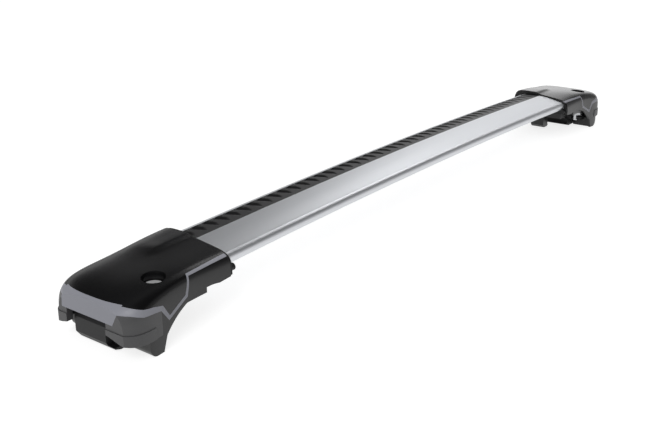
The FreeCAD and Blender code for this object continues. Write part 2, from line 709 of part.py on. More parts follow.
def make_end_guard():
    """Dark grey guard: stepped corner blocks joined by a wall behind the trim's panel."""
    region = guard_region()
    shell = OUTER_FORM.cut(GUARD_INNER)
    blocks = shell.common(region).common(LOWER_REGION).cut(TRIM_REGION).cut(notch())
    flare = foot_solid(-size("guard_flare")).cut(INNER_FORM).common(region).cut(notch())
    flare = flare.common(block(
        FOOT_INNER + size("guard_start") + 8, FOOT_OUTER + 10, -FAR - 5, FAR + 5, 0, size("guard_step")))
    backing = INNER_FORM.cut(GUARD_INNER).common(block(
        FOOT_OUTER - 24, FOOT_OUTER + 2, -42, 42, size("panel_bottom"), size("panel_top") - 4))
    return above_floor(blocks.fuse([flare, backing])).removeSplitter()


def make_collar():
    """Rubber gasket round the bar at the foot's inner edge."""
    lip, gap = size("collar_lip"), size("joint_gap")
    ring = foot_solid(WALL + gap, open_inner=lip).common(block(
        FOOT_INNER - lip, FOOT_INNER + 4 - gap, -FAR, FAR, 38, 90))
    rim = foot_solid(0.8, open_inner=lip).common(block(
        FOOT_INNER - lip, FOOT_INNER - gap, -FAR, FAR, 38, 90))
    nub = cylinder(3.6, Vec(FOOT_INNER - 9, -40, 43), Vec(FOOT_INNER - gap, -40, 43))
    return largest_solid(ring.fuse([rim, nub]).cut(BAR_SPACE).removeSplitter())


def make_saddle():
    """Rubber lining of the cradle and of the fixed inner jaw."""
    gap = size("joint_gap")
    seat = size("rail_radius") + size("saddle_thickness") - gap
    low, high = -size("cradle_front"), size("cradle_back")
    ring = rail_cylinder(seat, low, high).cut(rail_cylinder(size("rail_radius"), low - 1, high + 1))
    x, z = RAIL_X, size("rail_z")
    over = side_prism([(x, z), (x + 40, z + 40), (x - 40, z + 40), (x - 40, z + 23)], low, high)
    beside = side_prism([(x, z), (x - 40, z + 23.5), (x - 40, z - 24)], size("leg_front"), size("leg_back"))
    return ring.common(over.fuse(beside)).removeSplitter()


# The right foot is built where it stands, the left one is its mirror image

def bound(item, prop, expression):
    """Bind a property of a document object to the sheet."""
    item.setExpression(prop, expression)


def primitive(kind, name, base, **expressions):
    """Part primitive with its sizes and place bound to the sheet."""
    item = doc.addObject("Part::" + kind, name)
    for prop, expression in expressions.items():
        bound(item, prop, expression)
    for axis, expression in zip("xyz", base):
        bound(item, "Placement.Base." + axis, expression)
    return item


def turned_to_y(item):
    """Lay a primitive's axis along Y."""
    item.Placement.Rotation = FreeCAD.Rotation(X_AXIS, -90)
    return item


SX, SY = "sizes.foot_inner + sizes.screw_in", "sizes.screw_y"


def make_lock_cylinder():
    """Silver lock barrel with its key slot."""
    barrel = primitive("Cylinder", "lock_barrel", (SX, SY, "sizes.lock_face - sizes.lock_length"),
                       Radius="sizes.lock_radius", Height="sizes.lock_length")
    corner = (SX + " - sizes.keyway_length / 2", SY + " - sizes.keyway_width / 2", "sizes.lock_face - 4")
    slot = primitive("Box", "lock_keyway", corner,
                     Length="sizes.keyway_length", Width="sizes.keyway_width", Height="5")
    cut = doc.addObject("Part::Cut", "lock_cylinder")
    cut.Base, cut.Tool = barrel, slot
    return cut


def make_lock_housing():
    """Sleeve round the lock, standing on the deck over the screw's head."""
    foot_z = "sizes.deck_bottom + sizes.deck_thickness"
    tube = primitive("Cylinder", "housing_tube", (SX, SY, foot_z),
                     Radius="sizes.lock_radius + sizes.housing_wall",
                     Height="sizes.lock_face - 0.4 - sizes.deck_bottom - sizes.deck_thickness")
    bore = primitive("Cylinder", "housing_bore", (SX, SY, foot_z + " - 1"),
                     Radius="sizes.lock_radius + sizes.thread_gap",
                     Height="sizes.lock_face + 2 - sizes.deck_bottom - sizes.deck_thickness")
    cut = doc.addObject("Part::Cut", "lock_housing")
    cut.Base, cut.Tool = tube, bore
    return cut


def make_tension_screw():
    """Long screw with a hexagon socket, its head on the washer."""
    head_z = "sizes.deck_bottom + sizes.deck_thickness + sizes.washer_thickness"
    head = primitive("Cylinder", "screw_head", (SX, SY, head_z),
                     Radius="sizes.screw_head_radius", Height="sizes.screw_head_height")
    shank = primitive("Cylinder", "screw_shank", (SX, SY, "sizes.screw_end"),
                      Radius="sizes.screw_radius", Height=head_z + " - sizes.screw_end")
    socket_z = head_z + " + sizes.screw_head_height - sizes.socket_depth"
    socket = primitive("Prism", "screw_hexagon", (SX, SY, socket_z),
                       Circumradius="sizes.screw_socket", Height="sizes.socket_depth + 1")
    socket.Polygon = 6
    fused = doc.addObject("Part::MultiFuse", "screw_blank")
    fused.Shapes = [head, shank]
    cut = doc.addObject("Part::Cut", "tension_screw")
    cut.Base, cut.Tool = fused, socket
    return cut


def make_washer():
    """Thrust washer on the deck."""
    low = "sizes.deck_bottom + sizes.deck_thickness"
    disc = primitive("Cylinder", "washer_disc", (SX, SY, low), Radius="sizes.washer_radius",
                     Height="sizes.washer_thickness")
    hole = primitive("Cylinder", "washer_hole", (SX, SY, low + " - 1"),
                     Radius="sizes.screw_radius + sizes.screw_clearance", Height="sizes.washer_thickness + 2")
    cut = doc.addObject("Part::Cut", "thrust_washer")
    cut.Base, cut.Tool = disc, hole
    return cut


def make_barrel_nut():
    """Cross nut that the screw draws up."""
    bar = turned_to_y(primitive("Cylinder", "nut_bar", (SX, SY + " - sizes.nut_length / 2", "sizes.nut_z"),
                                Radius="sizes.nut_radius", Height="sizes.nut_length"))
    hole = primitive("Cylinder", "nut_hole", (SX, SY, "sizes.nut_z - sizes.nut_radius - 1"),
                     Radius="sizes.screw_radius + sizes.thread_gap", Height="2 * sizes.nut_radius + 2")
    cut = doc.addObject("Part::Cut", "barrel_nut")
    cut.Base, cut.Tool = bar, hole
    return cut


def make_pivot_pin():
    """Steel pin that the jaw swings on."""
    base = ("sizes.foot_inner + sizes.pivot_in", "sizes.notch_front - 12", "sizes.pivot_z")
    return turned_to_y(primitive("Cylinder", "pivot_pin", base, Radius="sizes.pin_radius",
                                 Height="sizes.notch_back - sizes.notch_front + 20"))


def make_jaw():
    """Rocking jaw: hooked block with a lip, round knuckle and forked tongue under the nut."""
    low, high = size("notch_front") + size("jaw_gap"), size("notch_back") - size("jaw_gap")
    px, pz = PIVOT_X, size("pivot_z")
    toe, outer, bottom = px - size("jaw_toe"), px + size("jaw_nose"), size("jaw_bottom")
    tongue_top = size("nut_z") - size("nut_radius") - size("nut_clearance")
    edges = [(toe, bottom + 1.5), (toe + 3, bottom), (outer - 9, bottom), (outer - 3, bottom + 2),
             (outer, bottom + 7), (outer, pz - 2), (outer - 3, pz + 3), (px + 3, pz + 5.5), (px - 4, pz + 5.2),
             (px - 12, tongue_top), (toe, tongue_top)]
    hook = side_prism(edges, low, high)
    corner = size("jaw_corner")
    round_off = block(px - 10, outer + 1, high - corner, high + 1, bottom - 1, bottom + corner)
    round_off = round_off.cut(cylinder(
        corner, Vec(px - 11, high - corner, bottom + corner), Vec(outer + 2, high - corner, bottom + corner)))
    recess = block(
        outer - size("lip_length"), outer + 1, low - 1, low + 8, bottom + size("lip_thickness"), pz - 8)
    tongue_high = low + 2
    tongue = block(RAIL_X + 17, px - 15, size("screw_y") - 11, tongue_high, tongue_top - 6, tongue_top)
    clear = size("screw_radius") + size("fork_clearance")
    slot = block(RAIL_X, SCREW_X + clear + 0.5, size("screw_y") - clear, size("screw_y") + clear, 0, 40)
    jaw = hook.cut(round_off).cut(recess).fuse(tongue).cut(slot)
    jaw = jaw.cut(rail_cylinder(size("rail_radius") + size("jaw_pad_thickness"), -FAR, FAR))
    pin = cylinder(size("pin_radius") + size("thread_gap"), Vec(px, -FAR, pz), Vec(px, FAR, pz))
    return jaw.cut(pin).removeSplitter()


def make_jaw_pad():
    """Rubber on the jaw's rail side."""
    low, high = size("notch_front") + size("jaw_gap"), size("notch_back") - size("jaw_gap")
    outer = size("rail_radius") + size("jaw_pad_thickness") - size("joint_gap")
    ring = rail_cylinder(outer, low, high).cut(rail_cylinder(size("rail_radius"), low - 1, high + 1))
    x, z = RAIL_X, size("rail_z")
    wedge = side_prism([(x, z), (x + 40, z + 1), (x + 40, z - 40 * math.tan(math.radians(36)))], low, high)
    return ring.common(wedge).removeSplitter()


FOOT_PIECES = (
    ("top_cover", make_top_cover), ("trim_insert", make_trim), ("foot_body", make_foot_body),
    ("end_guard", make_end_guard), ("bar_collar", make_collar), ("saddle_pad", make_saddle),
    ("lock_cylinder", make_lock_cylinder), ("lock_housing", make_lock_housing),
    ("tension_screw", make_tension_screw), ("thrust_washer", make_washer), ("barrel_nut", make_barrel_nut),
    ("pivot_pin", make_pivot_pin), ("clamp_jaw", make_jaw), ("jaw_pad", make_jaw_pad),
)


def mirrored(source, name):
    """Mirror image of a piece across the middle of the bar."""
    item = doc.addObject("Part::Mirroring", name)
    item.Label = name
    item.Source = source
    item.Normal = X_AXIS
    return item


def build():
    """Make every piece and return those that are written out."""
    pieces = [make_bar(), make_strip()]
    plug = feature("right_end_plug", make_end_plug())
    pieces += [plug, mirrored(plug, "left_end_plug")]
    for name, make in FOOT_PIECES:
        made = make()
        if isinstance(made, Part.Shape):
            made = feature("right_" + name, made)
        made.Label = "right_" + name
        pieces += [made, mirrored(made, "left_" + name)]
    return pieces


PIECES = build()
doc.recompute()
for item in doc.Objects:
    if "Invalid" in item.State or "Error" in item.State:
        raise RuntimeError("%s did not compute" % item.Label)
for piece in PIECES:
    shape = piece.Shape
    if shape.isNull() or not shape.isValid():
        raise RuntimeError("%s has no valid shape" % piece.Label)
    print("%-22s solids %d volume %.0f" % (piece.Label, len(shape.Solids), shape.Volume))
    shape.exportStep("parts/%s.step" % piece.Label)
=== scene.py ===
"""Finish, studio and camera of a roof rack crossbar with two clamping feet."""
import logging
import math
from dataclasses import dataclass
from enum import Enum

import bpy
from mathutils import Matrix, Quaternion, Vector


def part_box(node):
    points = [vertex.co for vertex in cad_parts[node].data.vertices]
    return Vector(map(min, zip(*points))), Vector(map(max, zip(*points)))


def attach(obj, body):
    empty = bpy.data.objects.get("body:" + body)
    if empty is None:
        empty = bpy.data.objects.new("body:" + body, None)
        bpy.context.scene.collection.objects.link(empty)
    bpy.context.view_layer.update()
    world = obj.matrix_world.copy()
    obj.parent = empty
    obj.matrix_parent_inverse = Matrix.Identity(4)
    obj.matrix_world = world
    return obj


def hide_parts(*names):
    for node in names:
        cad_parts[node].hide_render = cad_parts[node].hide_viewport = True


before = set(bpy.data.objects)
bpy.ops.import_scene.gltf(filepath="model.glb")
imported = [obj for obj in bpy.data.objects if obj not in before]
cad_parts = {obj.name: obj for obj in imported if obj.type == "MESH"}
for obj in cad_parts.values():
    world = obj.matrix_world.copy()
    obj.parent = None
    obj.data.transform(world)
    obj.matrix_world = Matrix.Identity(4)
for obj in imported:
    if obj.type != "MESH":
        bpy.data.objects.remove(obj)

LOG = logging.getLogger("crossbar")
MM = 0.001

Colour = tuple[float, float, float]
Point = tuple[float, float, float]

# Sockets of a Mix node that mixes colours

FIRST_COLOUR = 6
SECOND_COLOUR = 7
MIXED_COLOUR = 2


class Side(Enum):
    """The two feet of the bar, named by the end that they stand at."""

    LEFT = "left"
    RIGHT = "right"


class Surface(Enum):
    """Kinds of fine surface that a finish can have."""

    MOULDED = "moulded"
    DRAWN = "drawn"
    TURNED = "turned"


# Shader groups shared by the finishes

class Wiring:
    """Short way to add and link the nodes of one tree."""

    def __init__(self, tree: bpy.types.NodeTree) -> None:
        """Keep the tree that is wired.

        Args:
            tree: Shader or geometry tree that the nodes go into.
        """
        self.tree = tree

    def add(self, kind: str, **settings: object) -> bpy.types.Node:
        """Add a node.

        Args:
            kind: Blender's name for the node.
            settings: Properties of the node and their values.

        Returns:
            The new node.
        """
        node = self.tree.nodes.new(kind)
        for name, value in settings.items():
            setattr(node, name, value)
        return node

    def feed(self, node: bpy.types.Node, **sources: object) -> bpy.types.Node:
        """Set or link inputs of a node by name, with spaces written as underscores.

        Args:
            node: Node whose inputs are fed.
            sources: A socket to link from, or a plain value, for each input.

        Returns:
            The same node.
        """
        for name, source in sources.items():
            self.put(node.inputs[name.replace("_", " ")], source)
        return node

    def put(self, socket: bpy.types.NodeSocket, source: object) -> None:
        """Link a socket to its source, or give it a plain value.

        Args:
            socket: Input socket.
            source: Output socket or plain value.
        """
        if isinstance(source, bpy.types.NodeSocket):
            self.tree.links.new(source, socket)
        else:
            socket.default_value = source

    def math(self, operation: str, *values: object) -> bpy.types.NodeSocket:
        """Result of a Math node.

        Args:
            operation: The node's operation.
            values: Sockets or numbers for its inputs, in order.

        Returns:
            The node's output.
        """
        node = self.add("ShaderNodeMath", operation=operation)
        for socket, value in zip(node.inputs, values):
            self.put(socket, value)
        return node.outputs[0]

    def mix(self, blend: str, factor: object, first: object, second: object) -> bpy.types.NodeSocket:
        """Result of a Mix node for colours.

        Args:
            blend: How the second colour goes over the first.
            factor: How much of the second colour shows.
            first: Socket or colour underneath.
            second: Socket or colour on top.

        Returns:
            The mixed colour.
        """
        node = self.add("ShaderNodeMix", data_type="RGBA", blend_type=blend)
        self.put(node.inputs["Factor"], factor)
        self.put(node.inputs[FIRST_COLOUR], first)
        self.put(node.inputs[SECOND_COLOUR], second)
        return node.outputs[MIXED_COLOUR]


def grey(level: float) -> tuple[float, float, float, float]:
    """Opaque grey for a colour socket.

    Args:
        level: How light it is.

    Returns:
        Its red, green, blue and opacity.
    """
    return level, level, level, 1.0


def new_group(
        name: str, inputs: dict[str, float],
        outputs: tuple[str, ...]) -> tuple[Wiring, bpy.types.Node, bpy.types.Node]:
    """Start a shader group.

    Args:
        name: Name of the group.
        inputs: Names of its number inputs, with their usual values.
        outputs: Names of its number outputs.

    Returns:
        The wiring of the group, its input node and its output node.
    """
    tree = bpy.data.node_groups.new(name, "ShaderNodeTree")
    for label, value in inputs.items():
        socket = tree.interface.new_socket(label, in_out="INPUT", socket_type="NodeSocketFloat")
        socket.default_value = value
    for label in outputs:
        tree.interface.new_socket(label, in_out="OUTPUT", socket_type="NodeSocketFloat")
    wiring = Wiring(tree)
    return wiring, wiring.add("NodeGroupInput"), wiring.add("NodeGroupOutput")


EVEN = (1.0, 1.0, 1.0)


def noise(wiring: Wiring, scale: object, detail: float, stretch: Point = EVEN) -> bpy.types.NodeSocket:
    """Noise over the object's own coordinates.

    Args:
        wiring: Tree that the nodes go into.
        scale: Scale of the noise, as a number or a socket.
        detail: Octaves of the noise.
        stretch: Scale along each axis, small along the axis that the noise is drawn out on.

    Returns:
        The noise's value.
    """
    place = wiring.add("ShaderNodeTexCoord")
    mapping = wiring.feed(wiring.add("ShaderNodeMapping"), Vector=place.outputs["Object"], Scale=stretch)
    texture = wiring.add("ShaderNodeTexNoise")
    wiring.feed(texture, Vector=mapping.outputs[0], Scale=scale, Detail=detail)
    return texture.outputs[0]


def moulded_group() -> bpy.types.NodeTree:
    """Group for the fine eroded grain of moulded plastic and rubber.

    Returns:
        A group that puts out a height and two masks around 0.5.
    """
    wiring, given, result = new_group(
        "moulded grain", {"Grain Scale": 2600.0, "Cloud Scale": 18.0}, ("Height", "Grain", "Cloud"))
    grain = noise(wiring, given.outputs["Grain Scale"], 3.0)
    cloud = noise(wiring, given.outputs["Cloud Scale"], 4.0)
    wiring.feed(result, Height=grain, Grain=grain, Cloud=cloud)
    return wiring.tree


DRAWN_LINES = (0.004, 1.0, 1.0)
DRAWN_CLOUDS = (0.15, 1.0, 1.0)
SPECKLE_SCALE = 6.0
SPECKLE_SHARE = 0.25


def drawn_group() -> bpy.types.NodeTree:
    """Group for the faint lines that drawing through a die leaves along X.

    Returns:
        A group that puts out a height and two masks around 0.5.
    """
    wiring, given, result = new_group(
        "drawn lines", {"Grain Scale": 900.0, "Cloud Scale": 14.0}, ("Height", "Grain", "Cloud"))
    lines = noise(wiring, given.outputs["Grain Scale"], 4.0, DRAWN_LINES)
    cloud = noise(wiring, given.outputs["Cloud Scale"], 3.0, DRAWN_CLOUDS)
    speckle = noise(wiring, wiring.math("MULTIPLY", given.outputs["Grain Scale"], SPECKLE_SCALE), 2.0)
    height = wiring.math("ADD", wiring.math("MULTIPLY", lines, 1.0 - SPECKLE_SHARE),
                         wiring.math("MULTIPLY", speckle, SPECKLE_SHARE))
    wiring.feed(result, Height=height, Grain=lines, Cloud=cloud)
    return wiring.tree


TURNED_LINES = (0.08, 0.08, 1.0)


def turned_group() -> bpy.types.NodeTree:
    """Group for the streaks of turned and plated steel.

    Returns:
        A group that puts out a height and two masks around 0.5.
    """
    wiring, given, result = new_group(
        "turned streaks", {"Grain Scale": 1500.0, "Cloud Scale": 60.0}, ("Height", "Grain", "Cloud"))
    lines = noise(wiring, given.outputs["Grain Scale"], 3.0, TURNED_LINES)
    cloud = noise(wiring, given.outputs["Cloud Scale"], 3.0)
    wiring.feed(result, Height=lines, Grain=lines, Cloud=cloud)
    return wiring.tree


@dataclass(frozen=True)
class Finish:
    """Finish of a piece: its colour, gloss and fine surface."""

    name: str
    colour: Colour
    roughness: float
    surface: Surface = Surface.MOULDED
    metallic: float = 0.0
    specular: float = 0.5
    grain_scale: float = 2600.0
    grain_depth: float = 0.02
    tone_spread: float = 0.12
    roughness_spread: float = 0.06

    def material(self, groups: dict[Surface, bpy.types.NodeTree]) -> bpy.types.Material:
        """Build the node material.

        Args:
            groups: Shader group for each kind of surface.

        Returns:
            The material.
        """
        made = bpy.data.materials.new(self.name)
        made.use_nodes = True
        made.node_tree.nodes.clear()
        wiring = Wiring(made.node_tree)
        output = wiring.add("ShaderNodeOutputMaterial")
        shader = wiring.add("ShaderNodeBsdfPrincipled")
        fine = wiring.add("ShaderNodeGroup", node_tree=groups[self.surface])
        wiring.feed(fine, Grain_Scale=self.grain_scale)
        tone = wiring.math("ADD", fine.outputs["Grain"], fine.outputs["Cloud"])
        level = wiring.math("MULTIPLY_ADD", tone, self.tone_spread, 1.0 - self.tone_spread)
        colour = wiring.mix("MULTIPLY", 1.0, (*self.colour, 1.0), level)
        lowest = self.roughness - self.roughness_spread
        rough = wiring.math("MULTIPLY_ADD", fine.outputs["Cloud"], 2.0 * self.roughness_spread, lowest)
        bump = wiring.feed(wiring.add("ShaderNodeBump"), Strength=1.0, Distance=self.grain_depth * MM,
                           Height=fine.outputs["Height"])
        wiring.feed(shader, Base_Color=colour, Roughness=rough, Metallic=self.metallic,
                    Specular_IOR_Level=self.specular, Normal=bump.outputs[0])
        wiring.feed(output, Surface=shader.outputs[0])
        return made


ANODISED = Finish(
    "anodised_aluminium", (0.69, 0.705, 0.73), 0.42, Surface.DRAWN, metallic=0.86,
    grain_scale=900.0, grain_depth=0.006, tone_spread=0.05, roughness_spread=0.05)
STRIP_RUBBER = Finish("strip_rubber", (0.009, 0.009, 0.0095), 0.42, specular=0.4, grain_scale=1900.0)
COVER_BLACK = Finish(
    "satin_black", (0.005, 0.005, 0.0055), 0.24, specular=0.42, grain_depth=0.006, roughness_spread=0.03)
BODY_BLACK = Finish(
    "structural_black", (0.010, 0.010, 0.0105), 0.3, specular=0.42, grain_depth=0.008, roughness_spread=0.04)
TRIM_GREY = Finish("grey_trim", (0.32, 0.325, 0.365), 0.42, specular=0.4, grain_depth=0.01, tone_spread=0.07)
GUARD_GREY = Finish("dark_grey", (0.072, 0.072, 0.074), 0.42, grain_depth=0.018)
JAW_BLACK = Finish(
    "jaw_black", (0.011, 0.011, 0.0115), 0.46, specular=0.3, grain_scale=1500.0, grain_depth=0.03)
GASKET = Finish("gasket_rubber", (0.008, 0.008, 0.008), 0.55, specular=0.35, grain_scale=1700.0)
PLAIN_BLACK = Finish("black_plastic", (0.012, 0.012, 0.012), 0.45, specular=0.45)
LOCK_METAL = Finish("lock_metal", (0.62, 0.62, 0.63), 0.45, Surface.TURNED, metallic=0.1, grain_depth=0.01)
ZINC = Finish("zinc_steel", (0.56, 0.57, 0.58), 0.36, Surface.TURNED, metallic=1.0, grain_depth=0.012)

FINISHES = {
    "bar_extrusion": ANODISED, "rubber_strip": STRIP_RUBBER, "end_plug": PLAIN_BLACK,
    "top_cover": COVER_BLACK, "trim_insert": TRIM_GREY, "foot_body": BODY_BLACK, "end_guard": GUARD_GREY,
    "bar_collar": GASKET, "saddle_pad": GASKET, "jaw_pad": GASKET, "clamp_jaw": JAW_BLACK,
    "lock_cylinder": LOCK_METAL, "lock_housing": PLAIN_BLACK, "tension_screw": ZINC,
    "thrust_washer": ZINC, "barrel_nut": ZINC, "pivot_pin": ZINC,
}


class Paintbox:
    """Materials of all finishes, each made once."""

    def __init__(self) -> None:
        """Build the shared groups and start with no material."""
        self.groups = {
            Surface.MOULDED: moulded_group(), Surface.DRAWN: drawn_group(), Surface.TURNED: turned_group()}
        self.made: dict[str, bpy.types.Material] = {}

    def get(self, finish: Finish) -> bpy.types.Material:
        """Material of a finish.

        Args:
            finish: The finish that is wanted.

        Returns:
            Its material, built on first use.
        """
        if finish.name not in self.made:
            self.made[finish.name] = finish.material(self.groups)
        return self.made[finish.name]

    def dress(self, node: str) -> None:
        """Give a node of the frame the material of its finish.

        Args:
            node: Name of the node.
        """
        finish = next(value for key, value in FINISHES.items() if node.endswith(key))
        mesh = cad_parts[node].data
        mesh.materials.clear()
        mesh.materials.append(self.get(finish))


@dataclass
class BarLine:
    """Line of the strip's top along the bent bar, in metres."""

    bend_half_span: float = 390 * MM
    bend_rise: float = 5.4 * MM

    @property
    def radius(self) -> float:
        """Radius of the bend."""
        return (self.bend_half_span ** 2 + self.bend_rise ** 2) / (2 * self.bend_rise)

    @property
    def end_slope(self) -> float:
        """Fall per metre of the straight ends."""
        return math.tan(math.asin(self.bend_half_span / self.radius))


@dataclass
class RibbedStrip:
    """Rubber strip in the bar's track, with hollows between cross ribs."""

    line: BarLine
    pitch: float = 16.4 * MM
    hollow_depth: float = 1.5 * MM
    hollow_share: float = 0.62
    lean: float = 3.5 * MM
    front_border: float = 3.2 * MM
    web: float = 3.6 * MM
    cell: float = 0.9 * MM
    rows: int = 25
    layers: int = 3
    sinking_share: float = 0.45
    opening_share: float = 0.55
    rim_share: float = 0.12
    flat_share: float = 0.25
    least_slope: float = 0.02
    sharp_angle: float = math.radians(50)

    def tree(self) -> bpy.types.NodeTree:
        """Geometry tree that makes the strip on the bar's line.

        Returns:
            The tree, with named inputs for the sizes.
        """
        tree = bpy.data.node_groups.new("ribbed strip", "GeometryNodeTree")
        tree.interface.new_socket("Geometry", in_out="OUTPUT", socket_type="NodeSocketGeometry")
        for label in ("Length", "Front", "Back", "Top", "Pitch", "Hollow Depth", "Hollow Share", "Lean",
                      "Front Border", "Web", "Bend Half Span", "Bend Radius", "End Slope"):
            tree.interface.new_socket(label, in_out="INPUT", socket_type="NodeSocketFloat")
        for label in ("Columns", "Rows"):
            tree.interface.new_socket(label, in_out="INPUT", socket_type="NodeSocketInt")
        tree.interface.new_socket("Material", in_out="INPUT", socket_type="NodeSocketMaterial")
        wiring = Wiring(tree)
        given = wiring.add("NodeGroupInput").outputs
        result = wiring.add("NodeGroupOutput")
        width = wiring.math("SUBTRACT", given["Back"], given["Front"])
        middle = wiring.math("MULTIPLY", wiring.math("ADD", given["Back"], given["Front"]), 0.5)
        size = wiring.feed(wiring.add("ShaderNodeCombineXYZ"), X=given["Length"], Y=width, Z=given["Web"])
        slab = wiring.add("GeometryNodeMeshCube")
        wiring.feed(slab, Size=size.outputs[0], Vertices_X=given["Columns"], Vertices_Y=given["Rows"],
                    Vertices_Z=self.layers)
        place = wiring.add("GeometryNodeInputPosition")
        axes = wiring.feed(wiring.add("ShaderNodeSeparateXYZ"), Vector=place.outputs[0]).outputs
        depth = self.hollow(wiring, given, axes, width)
        sinking = wiring.math("MULTIPLY", given["Web"], self.sinking_share)
        upper = wiring.math("GREATER_THAN", axes["Z"], sinking)
        sunk = wiring.math("MULTIPLY", depth, upper)
        fall = self.fall(wiring, given, axes["X"])
        lift = wiring.math("SUBTRACT", given["Top"], wiring.math("MULTIPLY", given["Web"], 0.5))
        lift = wiring.math("SUBTRACT", wiring.math("SUBTRACT", lift, fall), sunk)
        offset = wiring.feed(wiring.add("ShaderNodeCombineXYZ"), Y=middle, Z=lift)
        moved = wiring.add("GeometryNodeSetPosition")
        wiring.feed(moved, Geometry=slab.outputs[0], Offset=offset.outputs[0])
        solid = wiring.feed(wiring.add("GeometryNodeRealizeInstances"), Geometry=moved.outputs[0])
        painted = wiring.feed(wiring.add("GeometryNodeSetMaterial"), Geometry=solid.outputs[0],
                              Material=given["Material"])
        wiring.feed(result, Geometry=painted.outputs[0])
        return tree

    def hollow(
            self, wiring: Wiring, given: object, axes: object,
            width: bpy.types.NodeSocket) -> bpy.types.NodeSocket:
        """Depth of the hollows at a point of the strip's top.

        Args:
            wiring: Tree that the nodes go into.
            given: Outputs of the group's input node.
            axes: Separate coordinates of the point in the flat strip.
            width: Width of the strip.

        Returns:
            The depth.
        """
        share = wiring.math("ADD", wiring.math("DIVIDE", axes["Y"], width), 0.5)
        arch = wiring.math("SINE", wiring.math("MULTIPLY", share, math.pi))
        bow = wiring.math("MULTIPLY", arch, given["Lean"])
        slant = wiring.math("MULTIPLY", share, given["Lean"])
        along = wiring.math("ADD", wiring.math("SUBTRACT", axes["X"], bow), slant)
        turn = wiring.math("FRACT", wiring.math("DIVIDE", along, given["Pitch"]))
        aside = wiring.math("ABSOLUTE", wiring.math("SUBTRACT", turn, 0.5))
        away = wiring.math("MULTIPLY", aside, 2.0)
        border = wiring.math("DIVIDE", given["Front Border"], width)
        opened = wiring.add("ShaderNodeMapRange", interpolation_type="SMOOTHSTEP")
        wiring.feed(opened, Value=share, From_Min=border,
                    From_Max=wiring.math("ADD", border, self.opening_share))
        reach = wiring.math("MULTIPLY", opened.outputs[0], given["Hollow Share"])
        bowl = wiring.add("ShaderNodeMapRange", interpolation_type="SMOOTHSTEP")
        wiring.feed(bowl, Value=away, From_Min=wiring.math("MULTIPLY", reach, self.flat_share),
                    From_Max=wiring.math("ADD", reach, self.least_slope), To_Min=1.0, To_Max=0.0)
        edge = wiring.add("ShaderNodeMapRange", interpolation_type="SMOOTHSTEP")
        wiring.feed(edge, Value=share, From_Min=border, From_Max=wiring.math("ADD", border, self.rim_share))
        sunk = wiring.math("MULTIPLY", bowl.outputs[0], edge.outputs[0])
        return wiring.math("MULTIPLY", sunk, given["Hollow Depth"])

    @staticmethod
    def fall(wiring: Wiring, given: object, along: bpy.types.NodeSocket) -> bpy.types.NodeSocket:
        """How far the bar's line lies under its highest point.

        Args:
            wiring: Tree that the nodes go into.
            given: Outputs of the group's input node.
            along: Place along the bar.

        Returns:
            The fall.
        """
        reach = wiring.math("ABSOLUTE", along)
        bent = wiring.math("MINIMUM", reach, given["Bend Half Span"])
        squares = wiring.math("SUBTRACT", wiring.math("POWER", given["Bend Radius"], 2.0),
                              wiring.math("POWER", bent, 2.0))
        arc = wiring.math("SUBTRACT", given["Bend Radius"], wiring.math("SQRT", squares))
        straight = wiring.math("MULTIPLY", wiring.math("SUBTRACT", reach, bent), given["End Slope"])
        return wiring.math("ADD", arc, straight)

    def build(self, paint: Paintbox) -> bpy.types.Object:
        """Make the strip as a plain mesh that stands for the frame's strip.

        Args:
            paint: Materials.

        Returns:
            The strip.
        """
        low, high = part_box("rubber_strip")
        values = {
            "Length": high.x - low.x, "Front": low.y, "Back": high.y, "Top": high.z, "Pitch": self.pitch,
            "Hollow Depth": self.hollow_depth, "Hollow Share": self.hollow_share, "Lean": self.lean,
            "Front Border": self.front_border, "Web": self.web, "Bend Half Span": self.line.bend_half_span,
            "Bend Radius": self.line.radius, "End Slope": self.line.end_slope,
            "Columns": int((high.x - low.x) / self.cell), "Rows": self.rows,
            "Material": paint.get(STRIP_RUBBER),
        }
        strip = grown_object("ribbed_strip", self.tree(), values)
        shade_by_angle(strip, self.sharp_angle)
        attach(strip, "bar")
        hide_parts("rubber_strip")
        return strip


def grown_object(name: str, tree: bpy.types.NodeTree, values: dict[str, object]) -> bpy.types.Object:
    """Run a geometry tree and keep what it makes as a plain mesh.

    Args:
        name: Name of the new object.
        tree: Geometry tree with named inputs.
        values: Value of each input.

    Returns:
        The object, with no modifier left on it.
    """
    carrier = bpy.data.objects.new(name, bpy.data.meshes.new(name))
    bpy.context.scene.collection.objects.link(carrier)
    modifier = carrier.modifiers.new("grow", "NODES")
    modifier.node_group = tree
    for item in tree.interface.items_tree:
        if item.item_type == "SOCKET" and item.in_out == "INPUT":
            modifier[item.identifier] = values[item.name]
    graph = bpy.context.evaluated_depsgraph_get()
    mesh = bpy.data.meshes.new_from_object(carrier.evaluated_get(graph), depsgraph=graph)
    carrier.modifiers.remove(modifier)
    carrier.data = mesh
    mesh.name = name
    return carrier


def shade_by_angle(piece: bpy.types.Object, angle: float) -> None:
    """Shade a piece smooth, with sharp edges where its faces turn by more than an angle.

    Args:
        piece: The piece.
        angle: The angle, in radians.
    """
    piece.data.shade_smooth()
    piece.data.set_sharp_from_angle(angle=angle)


@dataclass
class Crossbar:
    """The bar with its strip and end plugs."""

    line: BarLine

    def build(self, paint: Paintbox) -> None:
        """Dress the bar's nodes and make its strip.

        Args:
            paint: Materials.
        """
        for node in ("bar_extrusion", "left_end_plug", "right_end_plug"):
            paint.dress(node)
        strip = RibbedStrip(self.line).build(paint)
        LOG.info("bar dressed, strip of %d faces", len(strip.data.polygons))


